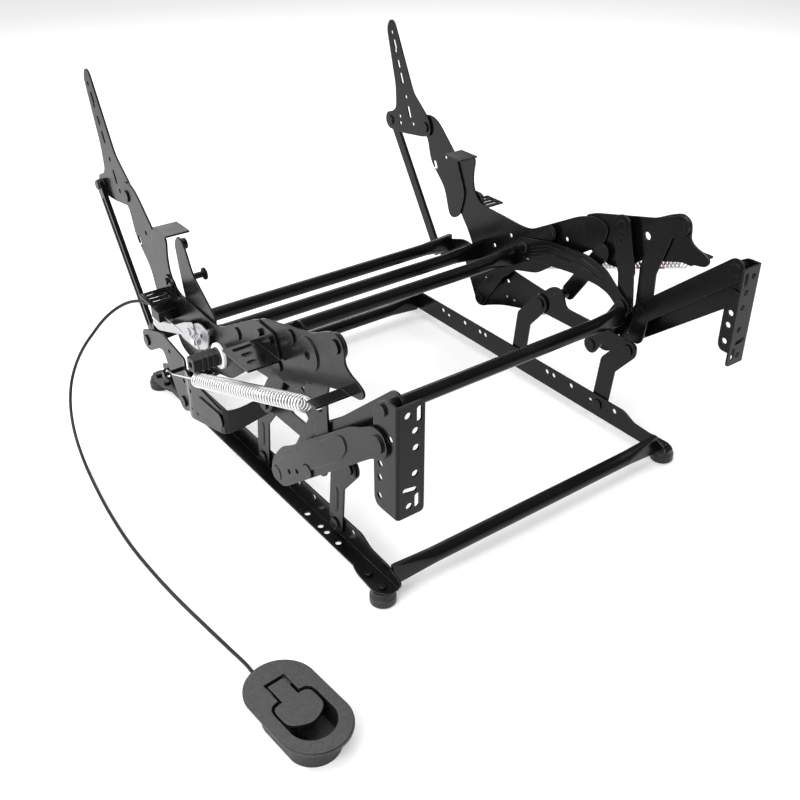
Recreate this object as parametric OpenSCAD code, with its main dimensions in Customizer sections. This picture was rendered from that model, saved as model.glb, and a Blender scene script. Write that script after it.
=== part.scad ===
// Recliner chair mechanism: base rails, glide links, seat frame, back brackets and footrest linkage.
// Frame: +Z up, footrest towards -Y, handle on the -X side, origin midway between the rails,
// on the underside of their horizontal flanges.

/* [Base frame] */
// Half distance between the outer faces of the rails' upright flanges
rail_half = 250; // [200:1:320]
// Length of a rail
rail_length = 692; // [640:2:760]
// Height of a rail's upright flange
rail_height = 36.5; // [30:0.5:48]
// Width of a rail's flat flange
rail_flange = 21; // [18:0.5:28]
// Sheet thickness of the rails
rail_sheet = 2.5; // [2:0.1:4]
// Diameter of the bolt holes in the rails
rail_hole_d = 8.5; // [6:0.1:10]
// Diameter of a foot
foot_d = 35; // [28:0.5:42]
// Height of a foot
foot_h = 20; // [14:0.5:30]
// Distance of a foot's centre from the rail's end
foot_inset = 18; // [18:0.5:26]

/* [Sheet and rivets] */
// Sheet thickness of links and plates
sheet = 3; // [2.5:0.1:3.6]
// Side gap between neighbouring links
link_gap = 1; // [0.6:0.1:1.4]
// Diameter of the pivot pins
pin_d = 10; // [8:0.5:11]
// Radial clearance of a pin in its hole
pin_clearance = 0.05; // [0.02:0.01:0.1]
// Diameter of a rivet head
head_d = 18; // [15:0.5:20]
// Height of a rivet head
head_h = 2.6; // [2:0.1:3]
// Diameter of the spacer sleeves on long pins
sleeve_d = 16; // [13:0.5:18]
// Diameter of the plain fixing holes in the plates
hole_d = 7.5; // [5:0.5:9]

/* [Glide and seat links] */
// Pivot length of a base link
base_link_len = 125; // [116:1:136]
// Forward lean of the base links at rest
base_link_lean = 20; // [17:0.5:24]
// Distance between the two base links of a side
base_link_span = 193; // [180:1:210]
// Width of the base links
base_link_w = 32; // [27:0.5:34]
// Width of the seat links and cranks
link_w = 27; // [24:0.5:30]
// Pivot length of a seat link
seat_link_len = 110; // [104:1:116]
// Forward lean of the seat links at rest
seat_link_lean = 34; // [31:0.5:37]

/* [Tubes] */
// Outside diameter of the cross tubes
tube_d = 22; // [18:0.5:25]
// Wall of the cross tubes
tube_wall = 1.6; // [1.2:0.1:2.5]
// Height of a tube's flattened end
tube_end_h = 31; // [27:0.5:34]
// Thickness of a tube's flattened end
tube_end_t = 7; // [5:0.5:10]
// Length over which a tube is flattened
tube_taper = 64; // [40:1:80]

/* [Footrest] */
// Width of the hangers
hanger_w = 31; // [26:0.5:34]
// Width of the guide arms
guide_w = 32; // [26:0.5:34]
// Height of a footrest bracket
bracket_h = 148; // [130:1:165]
// Width of a footrest bracket's front flange
bracket_front = 37; // [34:0.5:46]
// Diameter of the footrest bracket's board holes
board_hole_d = 9; // [6:0.5:10]

/* [Back] */
// Width of a back strut
strut_w = 17; // [14:0.5:20]
// Width of the groove pressed into a strut
strut_groove = 8; // [5:0.5:10]
// Diameter of the back bracket's bolt holes
back_hole_d = 7; // [5:0.5:9]

/* [Springs] */
// Outside diameter of a tension spring
spring_od = 22; // [16:0.5:24]
// Wire diameter of a tension spring
spring_wire = 2.6; // [2:0.1:3]
// Turns of a tension spring
spring_turns = 43; // [30:1:43]
// Length of the wound part of a tension spring
spring_body = 318; // [300:1:325]

/* [Cable and handle] */
// Diameter of the cable sheath
cable_d = 5; // [4:0.5:7]
// Length of the handle bezel
handle_len = 150; // [140:1:165]
// Width of the handle bezel
handle_w = 87; // [80:1:95]
// Height of the handle from the floor to the bezel's top
handle_h = 39; // [34:0.5:46]
// Thickness of the bezel
bezel_t = 4; // [3:0.5:5]
// Wall of the finger cup
cup_wall = 2.5; // [2:0.1:3.5]
// Turn of the handle about the vertical
handle_turn = 4; // [0:0.5:8]
// Width of the paddle
paddle_w = 50; // [44:0.5:54]
// Thickness of the paddle
paddle_t = 4; // [3:0.5:5]
// Gap around the paddle
paddle_gap = 3.5; // [2.5:0.5:5]

/* [Hidden] */
$fn = 48;

// Paint and materials
black = [0.13, 0.13, 0.14];
zinc = [0.75, 0.76, 0.78];
nylon = [0.93, 0.93, 0.91];
plastic = [0.16, 0.16, 0.17];

// Sideways layers: each link takes one sheet and one gap, counted outwards from the rail
pitch = sheet + link_gap;
function layer(n) = rail_half + link_gap + n * pitch;
base_link_x = layer(0);
carrier_bar_x = layer(1);
plate_x = layer(9);
front_plate_x = plate_x + sheet;
front_hanger_x = front_plate_x - pitch;
guide_x = front_hanger_x - pitch;
rear_hanger_x = guide_x - pitch;
drive_link_x = rear_hanger_x - pitch;
tab_x = front_plate_x + sheet;
back_arm_x = plate_x - sheet;
back_bracket_x = back_arm_x - pitch;
strut_x = back_bracket_x + pitch;
strut_t = 2 * pitch - link_gap;
rear_seat_link_x = layer(11);
bracket_x = layer(12);
arm_x = layer(13);
tail_x = layer(12);
carrier_x = layer(15);
spring_x = carrier_x + sheet + 2 + spring_od / 2;
// Clear play between a pin's head or spacer and the link that turns beside it
head_play = 0.15;
// Height of the flush rivet heads inside the stack of links
flush_h = 0.5;

// Pivots as [y, z] at rest. Each level hangs on the one below it.
pivot_drop = 15.5;
base_pivot = [-10, rail_height - pivot_drop];
base_lean = base_link_len * [-sin(base_link_lean), cos(base_link_lean)];
link_step = [-base_link_span, 0];
glide = base_pivot + base_lean;
glide_front = glide + link_step;
rear_seat_low = glide + [198.5, -82];
front_seat_low = glide + [-32, 25.5];
strut_low = glide + [315, -26];
rear_tube_at = glide + [291, -4];
spring_rear = glide + [184, -16];
seat_lean = seat_link_len * [-sin(seat_link_lean), cos(seat_link_lean)];
seat = rear_seat_low + seat_lean;
front_seat_high = front_seat_low + seat_lean;
back_pivot = seat + [213, 191];
strut_high = back_pivot + [104, -12];
cross_tube_at = seat + [-38, 33];
middle_tube_at = seat + [54, 11];
shaft_at = seat + [-61, 43];
crank_pivot = seat + [-119, 102];
rear_hang = seat + [-267, 164];
front_hang = seat + [-365, 194];
drive_joint = rear_hang + [-24, -120];
guide_low = front_hang + [45, -154];
arm_rear_pivot = front_hang + [52, -196];
arm_end = arm_rear_pivot + [81, -50];
bracket_pivot = arm_rear_pivot + [-150, 124];
guide_high = bracket_pivot + [-5, 45];
crank_joint = seat + [-65, 60];
spring_front = seat + [-382, 136];
latch_pivot = seat + [15, 50];

// Helpers

// Put children on the left side as drawn, or mirror them to the right side
module on_side(s) {
  if (s > 0) children();
  else mirror([1, 0, 0]) children();
}

// Both sides at once
module both_sides() {
  on_side(1) children();
  on_side(-1) children();
}

// Stand a flat [y, z] shape up as a sheet from x over thickness t
module upright(x, t = sheet) {
  translate([x, 0, 0]) rotate([90, 0, 90]) linear_extrude(t) children();
}

// Round bar along X at pivot p, from x0 to x1
module pin(p, x0, x1, d) {
  translate([x0, p[0], p[1]]) rotate([0, 90, 0]) cylinder(h = x1 - x0, d = d);
}

// Flat strap with round ends between two points, its sides just inside the tangent lines
strap_ease = 0.05;
module strap(a, b, w) {
  v = b - a;
  for (p = [a, b]) translate(p) circle(d = w);
  translate(a) rotate(atan2(v[1], v[0])) translate([0, strap_ease - w / 2])
      square([norm(v), w - 2 * strap_ease]);
}

// Strap through several points
module strap_chain(points, w) {
  for (i = [0 : len(points) - 2]) strap(points[i], points[i + 1], w);
}

// Plain holes of diameter d at a list of points
module holes(points, d) {
  for (p = points) translate(p) circle(d = d);
}

// Slot of length l and width w, centred at p and turned by a degrees
module slot(p, l, w, a) {
  v = (l - w) / 2 * [cos(a), sin(a)];
  strap(p - v, p + v, w);
}

// Hole for a pivot pin with running clearance
module pivot_hole(p) {
  translate(p) circle(d = pin_d + 2 * pin_clearance);
}

// Corner of an outline rounded by a short curve
corner_steps = 3;
function unit(v) = v / norm(v);
function corner(a, p, b, r) =
  let (ra = min(r, 0.45 * norm(a - p)), rb = min(r, 0.45 * norm(b - p)))
  [for (i = [0 : corner_steps])
    let (s = i / corner_steps)
    (1 - s) * (1 - s) * (p + ra * unit(a - p)) + 2 * s * (1 - s) * p + s * s * (p + rb * unit(b - p))];

// Outline with all its corners rounded
function rounded(points, r) =
  let (n = len(points))
  [for (i = [0 : n - 1]) each corner(points[(i + n - 1) % n], points[i], points[(i + 1) % n], r)];

// Outline with its first two corners left square, where a sheet is folded
function fold_edge(points, r) =
  let (n = len(points))
  [points[0], points[1],
    for (i = [2 : n - 1]) each corner(points[i - 1], points[i], points[(i + 1) % n], r)];

// Outline drawn from a reference point
module outline(at, points, r) {
  translate(at) polygon(rounded(points, r));
}

// Cross tube between x = -half and half with flattened upright ends
module cross_bar(p, half) {
  round_half = half - tube_taper;
  seat_len = 6;
  difference() {
    union() {
      pin(p, -round_half, round_half, tube_d);
      both_sides() hull() {
        pin(p, round_half - 0.5, round_half, tube_d, $fn = 32);
        translate([half - seat_len, p[0] - tube_end_t / 2, p[1] - tube_end_h / 2])
          cube([seat_len, tube_end_t, tube_end_h]);
      }
    }
    pin(p, -round_half + 1, round_half - 1, tube_d - 2 * tube_wall);
  }
}

// Base

foot_y = rail_length / 2 - foot_inset;
foot_x = rail_half + 15;
rail_row_x = rail_half + 12;
rail_row = [143, 177, 193, 221];
rail_side_row = [[-239, 0], [-188, -5], [-143, 0], [-102, 0], [-86, 0], [73, 0], [88, 0], [130, 0],
  [176, -5], [193, 0]];
rail_side_drop = 10.5;
foot_ledge = 8;

module feet() {
  groove = 1.2;
  color(plastic)
    for (x = [-foot_x, foot_x], y = [-foot_y, foot_y]) translate([x, y, -foot_h])
      rotate_extrude() polygon([[0, 0], [foot_d / 2 - 2, 0], [foot_d / 2, 2], [foot_d / 2, foot_h * 0.62],
        [foot_d / 2 - groove, foot_h * 0.62], [foot_d / 2 - groove, foot_h * 0.7],
        [foot_d / 2 - 3, foot_h], [0, foot_h]]);
}

module rail() {
  end = rail_length / 2;
  low = rail_height - 13;
  side = [for (s = [-1, 1]) each [for (q = [[end - 4, 0], [end, low * 0.55], [end - 26, low],
    [end - 66, low + 2], [end - 88, rail_height]]) s > 0 ? [q[0], q[1]] : [-q[0], q[1]]]];
  ordered = concat([for (i = [4 : -1 : 0]) side[i]], [for (i = [5 : 9]) side[i]]);
  inner = rail_half - rail_sheet;
  outer = rail_half + rail_flange;
  ear = outer + foot_ledge;
  color(black) {
    upright(inner, rail_sheet) difference() {
      polygon(rounded(ordered, 5));
      holes([for (q = rail_side_row) [q[0], rail_height - rail_side_drop + q[1]]], rail_hole_d);
      pivot_hole(base_pivot);
      pivot_hole(base_pivot + link_step);
    }
    linear_extrude(rail_sheet) difference() {
      union() {
        translate([rail_half, -end + 4]) square([rail_flange, rail_length - 8]);
        for (s = [-1, 1]) polygon(rounded([[rail_half, s * (end - 4)], [ear - 14, s * (end - 1)],
            [ear, s * (end - 16)],
          [ear - 3, s * (end - 62)], [outer - 1, s * (end - 82)], [rail_half, s * (end - 82)]], 8));
      }
      for (s = [-1, 1], y = rail_row) translate([rail_row_x, s * y]) circle(d = rail_hole_d);
    }
  }
}

base_front_tube_inset = 21;
base_rear_tube_inset = 72;
base_tube_z = 12;

module base_tube(y) {
  color(black) cross_bar([y, base_tube_z], rail_half - rail_sheet);
}

module base_rivets() {
  bolt_d = 12;
  color(black) {
    both_sides() for (p = [base_pivot, base_pivot + link_step]) {
      pin(p, rail_half - rail_sheet - head_h, rail_half - rail_sheet, head_d);
      pin(p, rail_half - rail_sheet, base_link_x + sheet + head_play, pin_d);
      pin(p, base_link_x + sheet + head_play, base_link_x + sheet + head_play + head_h, head_d);
    }
    for (x = [-1, 1], y = [-1, 1], step = [0, 31])
      translate([x * foot_x, y * (foot_y - step), rail_sheet]) cylinder(h = 4, d = bolt_d, $fn = 6);
  }
}

// Glide links and carriers

module base_link(foot) {
  bend = foot + base_link_len * [-0.065, 0.61];
  top = foot + base_lean;
  color(black) {
    upright(base_link_x) difference() {
      union() {
        strap(foot, bend, base_link_w);
        strap(bend, top, base_link_w);
      }
      pivot_hole(foot);
      pivot_hole(top);
    }
  }
}

module carrier() {
  bar_front = -base_link_span - 13;
  bar_rear = 10.5;
  main_front = 36;
  main_rear = 152;
  tail_front = 178;
  tail_end = 331;
  half = sheet / 2;
  route = [[carrier_bar_x + half, bar_front], [carrier_bar_x + half, bar_rear],
    [carrier_x + half, main_front], [carrier_x + half, main_rear], [tail_x + half, tail_front],
    [tail_x + half, tail_end]];
  bend_r = [0, 0, 14, 14, 7];
  bent = concat([route[0], route[1]],
    [for (i = [2 : len(route) - 2]) each corner(route[i - 1], route[i], route[i + 1], bend_r[i])],
        [route[len(route) - 1]]);
  side = [[bar_front, -13], [bar_front, 13], [-54, 13], [-48, 34], [-36, 41], [-20, 38], [2, 18],
    [28, -11], [47, -15], [118, -8], [249, 13], [263, 11], [329, -11], [329, -39], [309, -43],
    [267, -19], [253, -17], [217, -84], [209, -96], [196, -99], [178, -89], [33, -51], [4, -15]];
  rib = [glide + [52, -34], glide + [106, -36]];
  rib_w = 24;
  low_hole_d = 5;
  rib_h = 2;
  stud_d = 6;
  stud_head = 2;
  stud_end = spring_x + 6;
  through = carrier_x - tail_x + sheet + 2;
  color(black) difference() {
    union() {
      intersection() {
        translate([0, glide[0], 0]) linear_extrude(glide[1] + 60) union() {
          for (i = [0 : len(bent) - 2]) strap(bent[i], bent[i + 1], sheet + 2 * strap_ease);
        }
        upright(carrier_bar_x - sheet, carrier_x - carrier_bar_x + 3 * sheet) outline(glide, side, 10);
      }
      upright(carrier_x + sheet, rib_h) strap(rib[0], rib[1], rib_w);
      pin(spring_rear, tail_x + sheet, stud_end, stud_d);
      pin(spring_rear, stud_end, stud_end + stud_head, stud_d + 4);
    }
    for (p = [glide, glide_front, front_seat_low])
        pin(p, carrier_bar_x - 1, carrier_bar_x + sheet + 1, pin_d + 2 * pin_clearance);
    for (p = [strut_low, rear_seat_low]) pin(p, tail_x - 1, tail_x + sheet + 1, pin_d + 2 * pin_clearance);
    for (q = [[142, -31], [188, -40], [230, -8]]) pin(glide + q, tail_x - 1, tail_x + through, hole_d);
    for (q = [[143, -62], [124, -62]]) pin(glide + q, tail_x - 1, tail_x + through, low_hole_d);
  }
}

module carrier_rivets() {
  color(black) both_sides() {
    for (p = [glide, glide_front]) {
      pin(p, base_link_x - head_play - head_h, base_link_x - head_play, head_d);
      pin(p, base_link_x - head_play, carrier_bar_x + sheet, pin_d);
      pin(p, carrier_bar_x + sheet, carrier_bar_x + sheet + head_h, head_d);
    }
    pin(front_seat_low, carrier_bar_x, guide_x + sheet + head_play, pin_d);
    pin(front_seat_low, carrier_bar_x + sheet, guide_x - head_play, sleeve_d);
    pin(front_seat_low, guide_x + sheet + head_play, guide_x + sheet + head_play + head_h, head_d);
    pin(strut_low, strut_x - head_play - head_h, strut_x - head_play, head_d);
    pin(strut_low, strut_x - head_play, tail_x + sheet, pin_d);
    pin(strut_low, strut_x + strut_t + head_play, tail_x, sleeve_d);
    pin(strut_low, tail_x + sheet, tail_x + sheet + head_h, head_d);
    pin(rear_seat_low, rear_seat_link_x - head_play - head_h, rear_seat_link_x - head_play, head_d);
    pin(rear_seat_low, rear_seat_link_x - head_play, tail_x + sheet, pin_d);
    pin(rear_seat_low, rear_seat_link_x + sheet + head_play, tail_x, sleeve_d);
    pin(rear_seat_low, tail_x + sheet, tail_x + sheet + head_h, head_d);
  }
}

module rear_tube() {
  color(black) cross_bar(rear_tube_at, tail_x);
}

// Seat frame

module seat_link(x, low) {
  color(black) upright(x) difference() {
    strap(low, low + seat_lean, link_w);
    pivot_hole(low);
    pivot_hole(low + seat_lean);
  }
}

module seat_plate() {
  side = [[79, 170], [85, 140], [82, 113], [62, 92], [6, 90], [-43, 87], [-67, 89], [-171, 146],
    [-205, 157], [-235, 150], [-228, 118], [-150, 64], [-90, 18], [-30, 2], [-16, -17], [14, -19],
    [40, -9], [70, -2], [92, 34], [126, 74], [136, 122], [130, 160], [119, 174]];
  tab_w = 38;
  tab_front = 79;
  tab_len = 42;
  tab_z = 170;
  color(black) {
    upright(plate_x) difference() {
      outline(seat, side, 12);
      for (p = [seat, crank_pivot]) pivot_hole(p);
      translate(shaft_at) circle(d = 20);
      holes([seat + [-20, 62], seat + [20, 30], seat + [-150, 100]], hole_d);
    }
    translate([plate_x + sheet - tab_w, seat[0] + tab_front, seat[1] + tab_z])
        cube([tab_w, tab_len, sheet]);
  }
}

module front_plate() {
  side = [[-172, 112], [-184, 152], [-200, 160], [-317, 190], [-345, 205], [-364, 212], [-379, 205],
    [-382, 191], [-382, 178], [-395, 170], [-408, 167], [-421, 160], [-416, 148], [-372, 141],
    [-340, 130], [-300, 118], [-276, 92], [-240, 88], [-212, 94]];
  dish = seat + [-306, 158];
  dish_d = 44;
  dish_h = 2;
  dish_hole = 13;
  tab_len = 18;
  tab_out = spring_x + spring_od / 2 - front_plate_x;
  tab_z = spring_front[1] + spring_wire / 2 + 4;
  hook_pin_d = 5;
  pin_h = spring_wire + 8;
  color(black) {
    difference() {
      union() {
        upright(front_plate_x) outline(seat, side, 9);
        pin(dish, front_plate_x + sheet, front_plate_x + sheet + dish_h, dish_d);
        translate([front_plate_x, spring_front[0] - tab_len / 2, tab_z]) cube([tab_out, tab_len, sheet]);
        translate([spring_x, spring_front[0], tab_z - pin_h]) cylinder(h = pin_h, d = hook_pin_d);
      }
      pin(dish, front_plate_x - 1, front_plate_x + sheet + dish_h + 1, dish_hole);
      for (p = [rear_hang, front_hang, front_seat_high])
        pin(p, front_plate_x - 1, front_plate_x + sheet + 1, pin_d + 2 * pin_clearance);
    }
  }
}

front_tab_len = 66;
front_tab_w = 48;
front_tab_rear = -176;
front_tab_z = 118;
rear_tab_len = 42;
rear_tab_w = 45;
rear_tab_front = 56;
rear_tab_z = 84;

module front_tabs() {
  rise = 36;
  y0 = seat[0] + front_tab_rear - front_tab_len;
  z0 = seat[1] + front_tab_z;
  mid = [tab_x + front_tab_w / 2, y0 + front_tab_len / 2];
  color(black) both_sides() {
    upright(tab_x) difference() {
      outline([y0, z0], [[0, 0], [front_tab_len, 0], [front_tab_len - 6, rise], [10, rise - 2]], 8);
      for (y = [20, 46]) translate([y0 + y, z0 + rise - 14]) circle(d = hole_d);
    }
    translate([0, 0, z0]) linear_extrude(sheet) difference() {
      translate([tab_x + sheet, y0]) square([front_tab_w - sheet, front_tab_len]);
      slot(mid + [0, 22], 30, hole_d, 0);
      slot(mid + [4, 4], 16, hole_d + 2, 0);
      slot(mid + [8, -16], 14, hole_d + 2, 0);
    }
  }
}

module rear_tabs() {
  rise = 26;
  y0 = seat[0] + rear_tab_front;
  z0 = seat[1] + rear_tab_z;
  x0 = plate_x + sheet;
  color(black) both_sides() {
    upright(x0) difference() {
      outline([y0, z0], [[0, 0], [rear_tab_len, 0], [rear_tab_len - 4, rise], [8, rise]], 6);
      for (y = [13, 30]) translate([y0 + y, z0 + rise - 9]) circle(d = hole_d);
    }
    translate([0, 0, z0]) linear_extrude(sheet) difference() {
      translate([x0 + sheet, y0]) square([rear_tab_w - sheet, rear_tab_len]);
      for (y = [10, 22]) slot([x0 + rear_tab_w * 0.55, y0 + y], 30, hole_d - 1, 0);
      slot([x0 + rear_tab_w * 0.7, y0 + 34], 14, hole_d - 1, 0);
    }
  }
}

module seat_tubes() {
  color(black) for (p = [cross_tube_at, middle_tube_at]) cross_bar(p, plate_x);
}

module seat_rivets() {
  bolt_d = 11;
  bolt_h = 4;
  color(black) {
    both_sides() {
      hang(rear_hang, rear_hanger_x, front_plate_x);
      hang(front_hang, front_hanger_x, front_plate_x);
      hang(front_seat_high, guide_x, front_plate_x);
      hang(crank_pivot, rear_hanger_x, plate_x);
      pin(back_pivot, back_bracket_x - head_play - head_h, back_bracket_x - head_play, head_d);
      pin(back_pivot, back_bracket_x - head_play, back_arm_x + sheet, pin_d);
      pin(back_pivot, back_arm_x + sheet, back_arm_x + sheet + head_h, head_d);
      pin(seat, plate_x, rear_seat_link_x + sheet + head_play, pin_d);
      pin(seat, plate_x + sheet, rear_seat_link_x - head_play, sleeve_d);
      pin(seat, rear_seat_link_x + sheet + head_play, rear_seat_link_x + sheet + head_play + head_h,
          head_d);
      for (q = [[20, 22], [46, 22]])
        pin(seat + [front_tab_rear - front_tab_len, front_tab_z] + q, tab_x + sheet,
            tab_x + sheet + bolt_h, bolt_d, $fn = 6);
      for (q = [[13, 17], [30, 17]])
        pin(seat + [rear_tab_front, rear_tab_z] + q, plate_x + 2 * sheet, plate_x + 2 * sheet + bolt_h,
            bolt_d, $fn = 6);
    }
  }
}

// Pin from a seat plate inwards to a hanging link, with a spacer and two heads
module hang(p, link_x, from_x) {
  pin(p, link_x - head_play - flush_h, link_x - head_play, head_d);
  pin(p, link_x - head_play, from_x + sheet, pin_d);
  pin(p, link_x + sheet + head_play, from_x, sleeve_d);
  pin(p, from_x + sheet, from_x + sheet + head_h, head_d);
}

// Back

module back_arm() {
  side = [[-34, 16], [-14, 24], [12, 20], [20, -4], [-3, -16], [-14, -58], [-55, -96], [-72, -148],
    [-98, -140], [-112, -92], [-84, -30]];
  color(black) upright(back_arm_x) difference() {
    outline(back_pivot, side, 14);
    pivot_hole(back_pivot);
    slot(back_pivot + [-27, -62], 16, hole_d + 2, 65);
    translate(back_pivot + [-56, -40]) circle(d = hole_d);
  }
}

module back_bracket() {
  side = [[-17, 2], [-10, 17], [34, 52], [40, 62], [84, 150], [93, 166], [105, 168], [114, 152],
    [88, 56], [86, 16], [98, 6], [115, 2], [120, -14], [110, -28], [60, -26], [2, -18], [-14, -12]];
  lean = 68;
  rows = [[99, 146], [88, 116], [57, 41], [35, -3], [73, -10], [75, 2]];
  slots = [[90, 127, 18], [79, 95, 15], [70, 72, 20], [47, 16, 22]];
  color(black) {
    upright(back_bracket_x) difference() {
      outline(back_pivot, side, 10);
      pivot_hole(back_pivot);
      holes([for (q = rows) back_pivot + q], back_hole_d);
      for (q = slots) slot(back_pivot + [q[0], q[1]], q[2], back_hole_d, lean);
    }
    pin(strut_high, back_bracket_x + sheet, strut_x - 2 * head_play, sleeve_d);
    pin(strut_high, back_bracket_x - head_h, back_bracket_x, head_d);
  }
}

module strut() {
  v = unit(strut_high - strut_low);
  groove_h = strut_t / 3;
  color(black) {
    difference() {
      upright(strut_x, strut_t) strap(strut_low, strut_high, strut_w);
      upright(strut_x + strut_t - groove_h, strut_t)
          strap(strut_low + 26 * v, strut_high - 26 * v, strut_groove);
      pin(strut_low, strut_x - 1, strut_x + strut_t + 1, pin_d + 2 * pin_clearance);
    }
    pin(strut_high, strut_x + strut_t, strut_x + strut_t + head_h, head_d - 4);
  }
}

// Footrest linkage

module rear_hanger() {
  waist = rear_hang + [-17, -64];
  color(black) {
    upright(rear_hanger_x) difference() {
      union() {
        strap(rear_hang, waist, hanger_w + 3);
        strap(waist, drive_joint, hanger_w - 1);
        strap(drive_joint, arm_end, hanger_w - 3);
      }
      pivot_hole(rear_hang);
      pivot_hole(drive_joint);
      translate(rear_hang + [-2, -22]) circle(d = hole_d);
    }
    pin(arm_end, rear_hanger_x - head_h, rear_hanger_x, head_d);
  }
}

module front_tube() {
  half = drive_link_x - link_gap - head_play;
  drop = [-5, -14];
  boss_depth = 6;
  color(black) {
    cross_bar(drive_joint + drop, half);
    both_sides() {
      pin(drive_joint, half - boss_depth, rear_hanger_x + sheet, pin_d);
      pin(drive_joint, half - boss_depth, drive_link_x - head_play, head_d);
    }
  }
}

module front_hanger() {
  knee = front_hang + [46, -84];
  color(black) {
    upright(front_hanger_x) difference() {
      union() {
        strap(front_hang, front_hang + [24, -10], hanger_w);
        strap(front_hang + [24, -10], knee, hanger_w);
        strap(knee, guide_low, hanger_w);
        strap(guide_low, arm_rear_pivot, hanger_w - 3);
      }
      pivot_hole(front_hang);
    }
    pin(guide_low, guide_x - head_play, front_hanger_x, pin_d);
    pin(guide_low, guide_x - head_play - flush_h, guide_x - head_play, head_d);
    pin(arm_rear_pivot, front_hanger_x + sheet, arm_x + sheet + head_play, pin_d);
    pin(arm_rear_pivot, front_hanger_x + sheet, arm_x - head_play, sleeve_d);
    pin(arm_rear_pivot, arm_x + sheet + head_play, arm_x + sheet + head_play + head_h, head_d);
  }
}

module guide_arm() {
  color(black) {
    upright(guide_x) difference() {
      strap(guide_low, guide_high, guide_w);
      pivot_hole(guide_low);
    }
    pin(guide_high, guide_x - 2, guide_x, head_d);
  }
}

module footrest_arm() {
  side = [[98, -48], [85, -66], [66, -65], [-140, 100], [-158, 106], [-170, 124], [-160, 142],
    [-140, 143], [-118, 128], [-94, 117], [46, 12], [64, 2], [86, -24]];
  boss_d = 34;
  panel = [[84, -44], [73, -55], [66, -53], [-76, 61], [-90, 82], [-83, 97], [-68, 92], [41, 5],
    [58, -5], [76, -28]];
  panel_h = 1.6;
  color(black) {
    difference() {
      union() {
        upright(arm_x) outline(arm_rear_pivot, side, 12);
        pin(bracket_pivot, bracket_x + sheet + head_play, arm_x, boss_d);
        pin(bracket_pivot, arm_x + sheet, arm_x + sheet + head_h, head_d + 4);
        pin(arm_end, rear_hanger_x + sheet + 2 * head_play, arm_x, sleeve_d);
        pin(arm_end, arm_x + sheet, arm_x + sheet + head_h, head_d + 4);
        upright(arm_x + sheet, panel_h) difference() {
          outline(arm_rear_pivot, panel, 9);
          translate(arm_rear_pivot) circle(d = head_d + 4);
        }
      }
      for (q = [[47, -28], [27, -16]]) pin(arm_rear_pivot + q, arm_x - 1, arm_x + sheet + 4, hole_d);
      pin(arm_rear_pivot, arm_x - 1, arm_x + sheet + 4, pin_d + 2 * pin_clearance);
    }
    pin(bracket_pivot, bracket_x - head_play, bracket_x + sheet + head_play, pin_d);
    pin(bracket_pivot, bracket_x - head_play - head_h, bracket_x - head_play, head_d);
  }
}

bracket_top = 59;
bracket_nose = 31;
bracket_rear = 13;

module footrest_bracket() {
  bottom = bracket_top - bracket_h;
  side = [[-bracket_nose, bracket_top], [-bracket_nose, bottom], [bracket_rear - 6, bottom],
    [bracket_rear, bottom + 8], [bracket_rear, bracket_top - 34], [bracket_rear - 3, bracket_top - 12],
    [-8, bracket_top]];
  side_holes = [[1, -28], [2, -47], [3, -73], [-18, 14]];
  slot_w = board_hole_d - 2;
  fold_r = sheet + 1;
  flange_w = bracket_front - sheet;
  front_mid = bracket_x + sheet - bracket_front / 2;
  z0 = bracket_pivot[1] + bottom;
  front_y = bracket_pivot[0] - bracket_nose;
  color(black) {
    difference() {
      union() {
        upright(bracket_x) difference() {
          translate(bracket_pivot) polygon(fold_edge(side, 6));
          pivot_hole(bracket_pivot);
          holes([for (q = side_holes) bracket_pivot + q], board_hole_d);
        }
        translate([front_mid, front_y, z0]) rotate([90, 0, 0]) mirror([0, 0, 1]) linear_extrude(sheet)
            difference() {
          translate([-bracket_front / 2, 0])
            polygon(fold_edge([[flange_w, 0], [flange_w, bracket_h], [0, bracket_h], [0, 0]], 6));
          holes([[4, bracket_h - 14], [-6, bracket_h - 36], [-7, bracket_h - 58], [-6, bracket_h - 92],
              [2, 14]], board_hole_d);
          slot([-11, bracket_h - 16], 20, slot_w, 90);
          slot([1, bracket_h - 112], 20, slot_w, 10);
          slot([-9, 18], 20, slot_w, 90);
        }
      }
      translate([bracket_x + sheet - fold_r, front_y + fold_r, z0 - 1]) linear_extrude(bracket_h + 2)
          difference() {
        translate([0, -fold_r - 1]) square(fold_r + 1);
        circle(r = fold_r);
      }
    }
    pin(guide_high, guide_x + sheet + 2 * head_play, bracket_x, sleeve_d);
    pin(guide_high, bracket_x + sheet, bracket_x + sheet + head_h, head_d - 4);
  }
}

module drive_crank() {
  color(black) upright(rear_hanger_x) difference() {
    strap(crank_pivot, crank_joint, link_w);
    pivot_hole(crank_pivot);
  }
}

module drive_link() {
  rise = [-57, 14];
  peak = [-134, 31];
  fall = [-176, 19];
  side = [[12, 14], [-12, 20], [-72, 32], [-143, 37], [-184, 28], [-222, -2], [-240, -14], [-236, -28],
    [-220, -30], [-196, -10], [-172, -4], [-116, -4], [-18, -16], [8, -18], [18, -2]];
  rib_h = 2;
  color(black) {
    upright(drive_link_x) difference() {
      outline(crank_joint, side, 10);
      pivot_hole(drive_joint);
    }
    for (z = [3, 15])
      upright(drive_link_x - rib_h, rib_h)
        strap_chain([for (q = [[-22, -10], rise - [0, 9], peak - [0, 20], fall - [0, 18]])
            crank_joint + q + [0, z]], 6);
    pin(crank_joint, drive_link_x - head_h, drive_link_x, head_d);
  }
}

// Springs: one wire from the rear hook, along the axis, through the turns, to the front hook

ring_sides = 6;
curl_rings = 8;
spring_r = (spring_od - spring_wire) / 2;
spring_v = spring_front - spring_rear;
spring_len = norm(spring_v);
hook_r = 3 + 0.5 + spring_wire / 2;
front_gap = 32;
coil_end = spring_len - front_gap;
coil_start = coil_end - spring_body;
coil_rings = spring_turns * curl_rings;

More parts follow.
